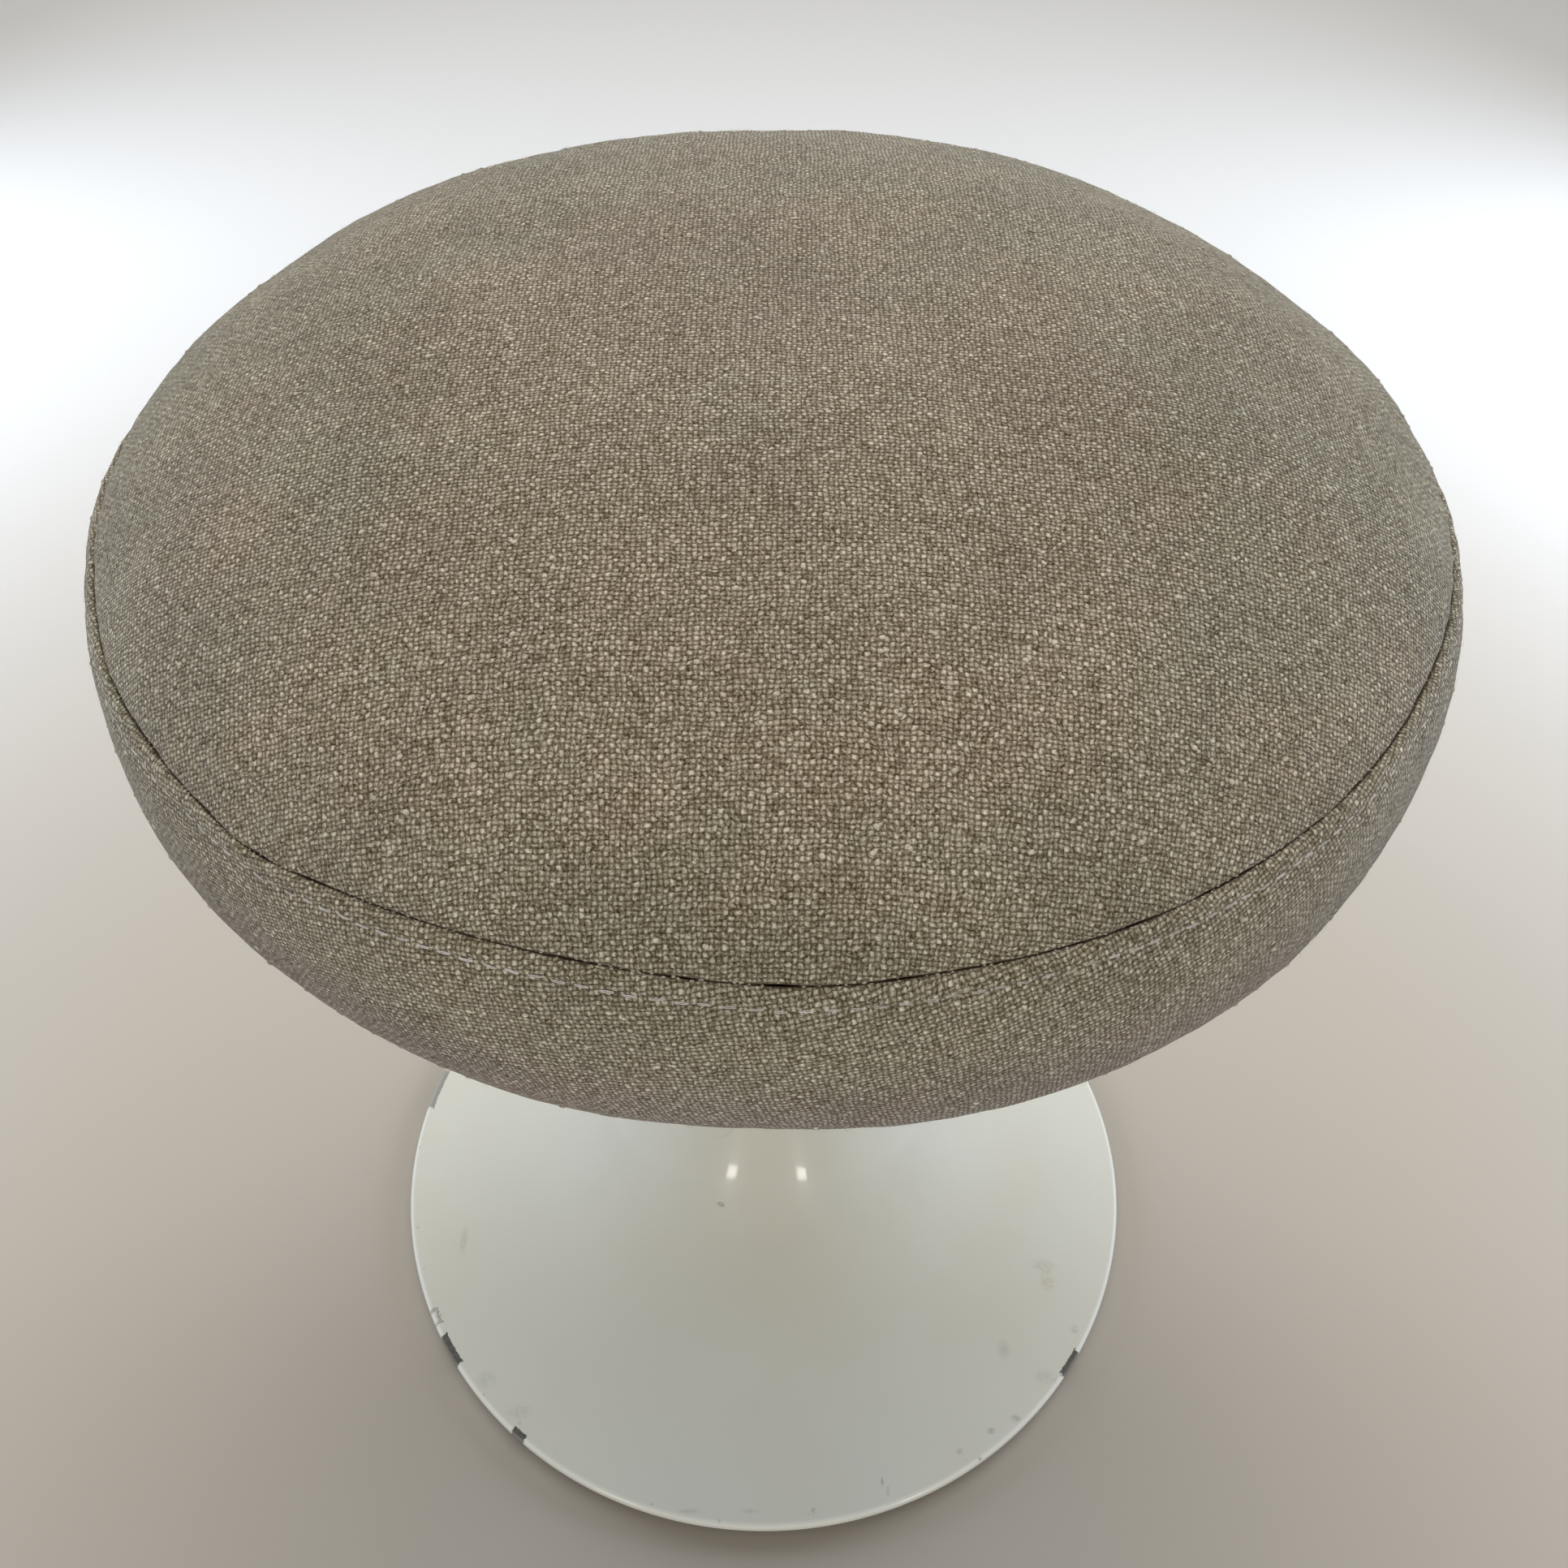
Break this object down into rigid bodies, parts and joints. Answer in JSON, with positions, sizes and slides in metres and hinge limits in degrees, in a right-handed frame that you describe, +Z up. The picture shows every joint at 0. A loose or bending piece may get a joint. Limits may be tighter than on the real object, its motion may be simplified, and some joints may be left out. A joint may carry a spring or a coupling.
{
  "type": "pedestal stool",
  "caption": "Round upholstered stool whose domed cushion swivels on a slender trumpet-shaped cast pedestal with a disc foot.",
  "frame": {"origin": "on the floor, at the centre of the foot, on the axis that the seat turns about", "axes": "+Z up along the swivel axis, -Y towards the side that the picture was taken from, +X to that viewer's right"},
  "size_m": [0.381, 0.381, 0.45],
  "materials": {
    "white_enamel": "satin",
    "black_nylon": "matte",
    "turned_steel": "satin",
    "zinc_steel": "satin",
    "bronze": "satin",
    "bearing_steel": "polished",
    "cage_brass": "satin",
    "black_plate": "satin",
    "plywood": "matte",
    "foam": "matte",
    "wadding": "matte",
    "woven_cloth": "matte",
    "staple_wire": "satin",
    "dust_cloth": "matte",
    "spring_steel": "satin"
  },
  "bodies": {
    "base": {"pedestal": "white_enamel", "base_glides": "black_nylon", "bearing_housing": "turned_steel", "housing_screws": "zinc_steel", "upper_bush": "bronze", "lower_bush": "bronze", "lower_race": "bearing_steel", "ball_cage": "cage_brass", "bearing_balls": "bearing_steel"},
    "seat": {"upper_race": "bearing_steel", "spindle": "turned_steel", "mounting_plate": "black_plate", "plate_washers": "zinc_steel", "plate_screws": "zinc_steel", "tee_nuts": "zinc_steel", "seat_board": "plywood", "foam_pad": "foam", "wadding": "wadding", "cover_top": "woven_cloth", "cover_band": "woven_cloth", "cover_staples": "staple_wire", "dust_cover": "dust_cloth", "dust_staples": "staple_wire", "retaining_washer": "zinc_steel", "wave_washer": "spring_steel", "retaining_ring": "spring_steel"}
  },
  "joints": [
    {"name": "seat_swivel", "type": "hinge", "parent": "base", "child": "seat", "pos_m": [0, 0, 0.3276], "axis": [0, 0, 1], "continuous": true}
  ]
}
